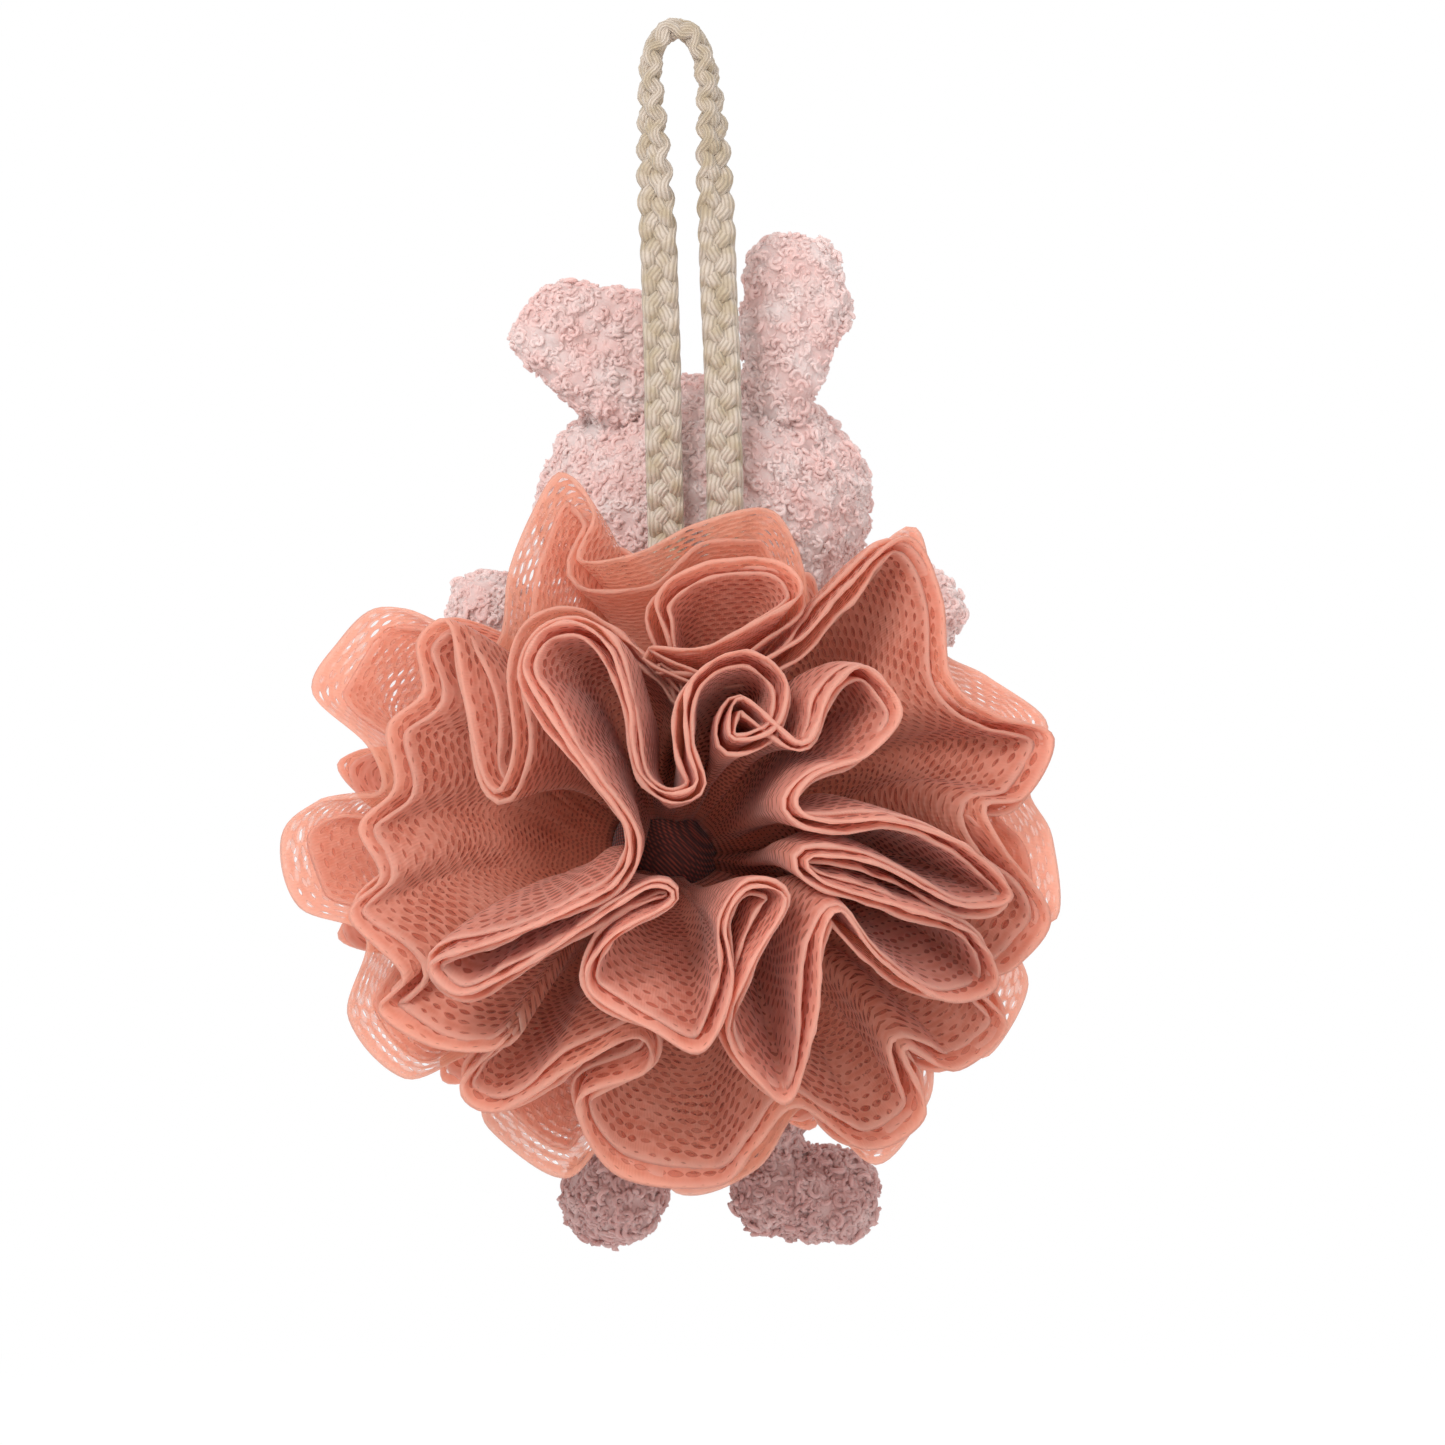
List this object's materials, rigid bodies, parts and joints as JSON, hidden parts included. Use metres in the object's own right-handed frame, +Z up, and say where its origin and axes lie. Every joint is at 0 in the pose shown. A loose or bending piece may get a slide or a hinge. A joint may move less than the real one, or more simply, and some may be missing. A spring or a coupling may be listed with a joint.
{
  "type": "bath scrubber",
  "caption": "Ruffled netting bath puff tied to the back of a stuffed plush rabbit and hung by a braided cotton cord loop.",
  "frame": {"origin": "inside of the top of the hanging loop, where a hook bears", "axes": "+Z up, -Y towards the scrubbing side of the puff, +Y towards the rabbit's face"},
  "size_m": [0.154, 0.1311, 0.2504],
  "materials": {
    "netting": "coral knitted nylon netting, doubled, with small lens-shaped holes",
    "gathered_netting": "the same netting gathered tight",
    "fleece": "pale pink curly boucle fleece",
    "filling": "white polyester filling",
    "cord": "oatmeal cotton braid, flat",
    "tie": "off-white woven tape and cord",
    "bead": "black, polished",
    "washer": "white",
    "nose_thread": "dusty pink embroidery"
  },
  "bodies": {
    "puff_and_trunk": {"hang_cord": "cord", "cord_knot": "cord", "core_tie": "tie", "netting_hub": "gathered_netting", "netting_inner_ruffle": "netting", "netting_middle_ruffle": "netting", "netting_outer_ruffle": "netting", "netting_back_ruffle": "netting", "back_tape": "tie", "torso_cover": "fleece", "torso_filling": "filling"},
    "head": {"head_cover": "fleece", "head_filling": "filling", "eye_left": "bead", "eye_right": "bead", "eye_washers": "washer", "nose": "nose_thread"},
    "ear_left": {"ear_left": "fleece"},
    "ear_right": {"ear_right": "fleece"},
    "arm_left": {"arm_left_cover": "fleece", "arm_left_filling": "filling"},
    "arm_right": {"arm_right_cover": "fleece", "arm_right_filling": "filling"},
    "leg_left": {"leg_left_cover": "fleece", "leg_left_filling": "filling"},
    "leg_right": {"leg_right_cover": "fleece", "leg_right_filling": "filling"}
  },
  "joints": [
    {"name": "head_nod", "type": "hinge", "parent": "puff_and_trunk", "child": "head", "pos_m": [0.0055, 0.027, -0.0925], "axis": [-1, 0, 0], "range_deg": [0, 20], "stiffness_Nm_per_rad": 0.08},
    {"name": "ear_left_fold", "type": "hinge", "parent": "head", "child": "ear_left", "pos_m": [-0.013, 0.014, -0.0725], "axis": [1, 0, 0], "range_deg": [-10, 18], "stiffness_Nm_per_rad": 0.02},
    {"name": "ear_right_fold", "type": "hinge", "parent": "head", "child": "ear_right", "pos_m": [0.021, 0.014, -0.0725], "axis": [1, 0, 0], "range_deg": [-10, 30], "stiffness_Nm_per_rad": 0.02},
    {"name": "arm_left_swing", "type": "hinge", "parent": "puff_and_trunk", "child": "arm_left", "pos_m": [-0.0117, 0.026, -0.127], "axis": [0, -1, 0], "range_deg": [-5, 45], "stiffness_Nm_per_rad": 0.03},
    {"name": "arm_right_swing", "type": "hinge", "parent": "puff_and_trunk", "child": "arm_right", "pos_m": [0.0227, 0.026, -0.127], "axis": [0, 1, 0], "range_deg": [-5, 45], "stiffness_Nm_per_rad": 0.03},
    {"name": "leg_left_swing", "type": "hinge", "parent": "puff_and_trunk", "child": "leg_left", "pos_m": [-0.008, 0.031, -0.199], "axis": [1, 0, 0], "range_deg": [-8, 30], "stiffness_Nm_per_rad": 0.03},
    {"name": "leg_right_swing", "type": "hinge", "parent": "puff_and_trunk", "child": "leg_right", "pos_m": [0.019, 0.031, -0.199], "axis": [1, 0, 0], "range_deg": [-8, 30], "stiffness_Nm_per_rad": 0.03}
  ]
}
